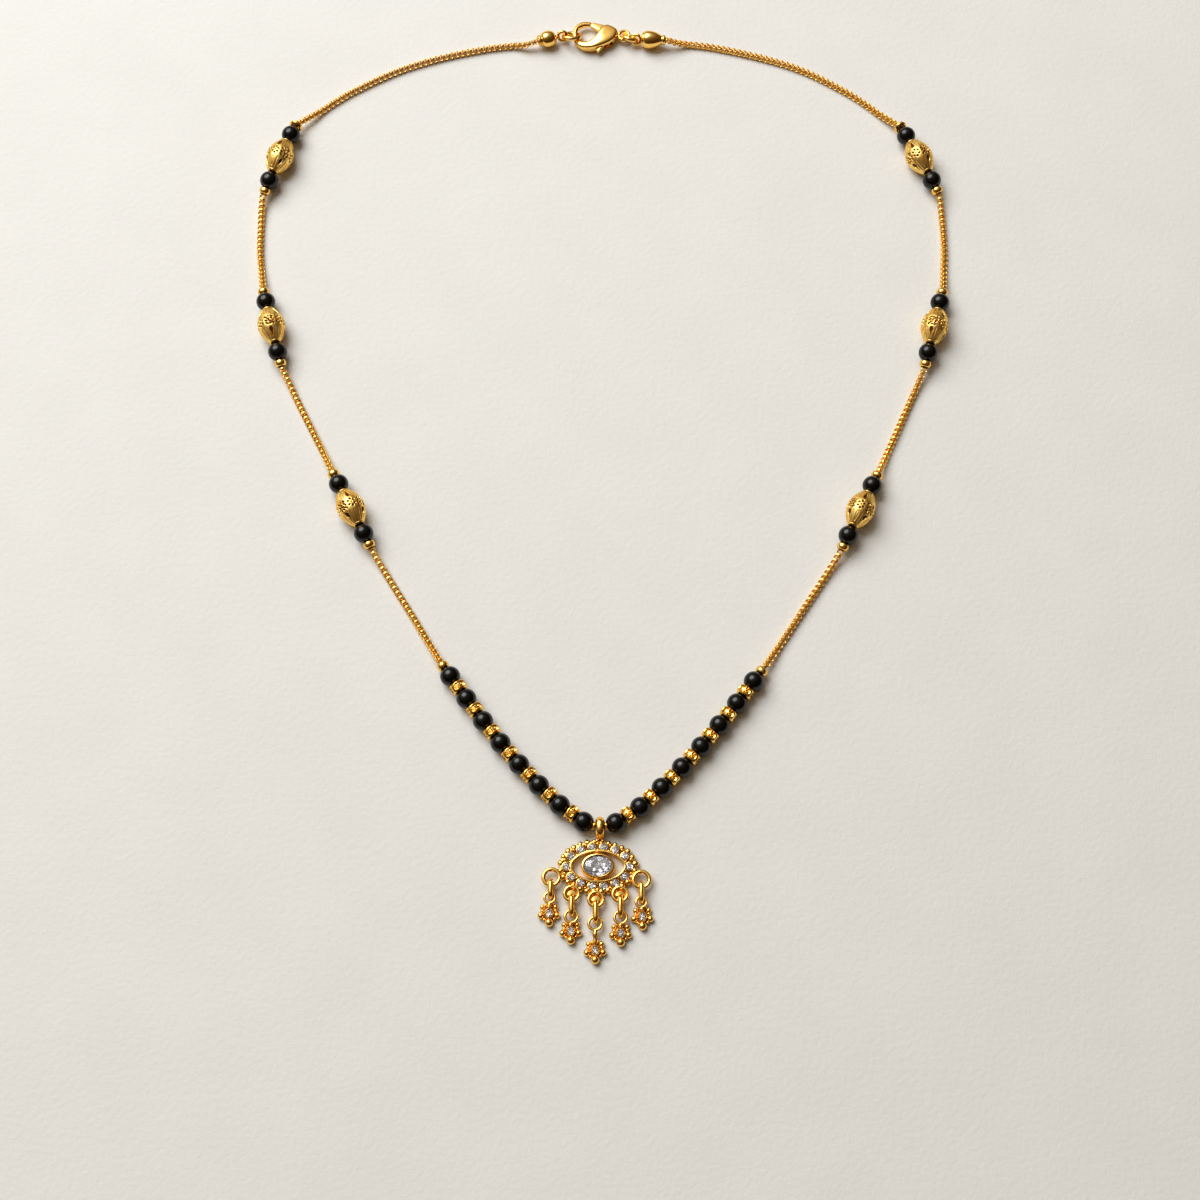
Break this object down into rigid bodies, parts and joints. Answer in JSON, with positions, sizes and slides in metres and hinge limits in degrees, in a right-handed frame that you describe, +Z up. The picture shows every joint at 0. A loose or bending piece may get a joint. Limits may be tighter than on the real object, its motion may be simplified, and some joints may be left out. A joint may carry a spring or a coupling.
{
  "type": "beaded pendant necklace",
  "caption": "Gold and black bead necklace lying in a closed loop, with engraved oval beads, box chain, a lobster clasp and a stone-set eye-shaped pendant with flower drops.",
  "frame": {"origin": "middle of the loop's bounding box, on the surface that the necklace lies on", "axes": "+Z up from that surface, +Y from the pendant to the clasp, +X to the right as worn lying face up"},
  "size_m": [0.1474, 0.2095, 0.0057],
  "materials": {
    "gold": "polished",
    "engraved_gold": "polished, engraved",
    "chain_gold": "polished links",
    "black_bead": "polished glass or onyx",
    "stone": "faceted, clear"
  },
  "bodies": {
    "necklace": {"black_bead_01": "black_bead", "black_bead_02": "black_bead", "black_bead_03": "black_bead", "black_bead_04": "black_bead", "black_bead_05": "black_bead", "black_bead_06": "black_bead", "black_bead_07": "black_bead", "black_bead_08": "black_bead", "black_bead_09": "black_bead", "black_bead_10": "black_bead", "black_bead_11": "black_bead", "black_bead_12": "black_bead", "black_bead_13": "black_bead", "black_bead_14": "black_bead", "black_bead_15": "black_bead", "black_bead_16": "black_bead", "black_bead_17": "black_bead", "black_bead_18": "black_bead", "black_bead_19": "black_bead", "black_bead_20": "black_bead", "black_bead_21": "black_bead", "black_bead_22": "black_bead", "black_bead_23": "black_bead", "black_bead_24": "black_bead", "black_bead_25": "black_bead", "black_bead_26": "black_bead", "black_bead_27": "black_bead", "black_bead_28": "black_bead", "oval_bead_1": "engraved_gold", "oval_bead_2": "engraved_gold", "oval_bead_3": "engraved_gold", "oval_bead_4": "engraved_gold", "oval_bead_5": "engraved_gold", "oval_bead_6": "engraved_gold", "front_string": "gold", "station_strings_left": "gold", "station_strings_right": "gold", "chain_left_1": "chain_gold", "chain_left_2": "chain_gold", "chain_left_3": "chain_gold", "chain_left_4": "chain_gold", "chain_right_1": "chain_gold", "chain_right_2": "chain_gold", "chain_right_3": "chain_gold", "chain_right_4": "chain_gold", "end_cap_left": "gold", "end_cap_right": "gold", "jump_ring_left": "gold", "jump_ring_right": "gold", "clasp_body": "gold", "pendant_frame": "gold", "centre_stone": "stone", "drop_links": "gold", "flower_drop_1": "gold", "flower_drop_2": "gold", "flower_drop_3": "gold", "flower_drop_4": "gold", "flower_drop_5": "gold"},
    "lever": {"clasp_lever": "gold"}
  },
  "joints": [
    {"name": "clasp_lever", "type": "hinge", "parent": "necklace", "child": "lever", "pos_m": [0.0021, 0.1015, 0.00142], "axis": [0, 0, 1], "range_deg": [0, 25], "stiffness_Nm_per_rad": 0.002, "springref_deg": -17.19}
  ]
}
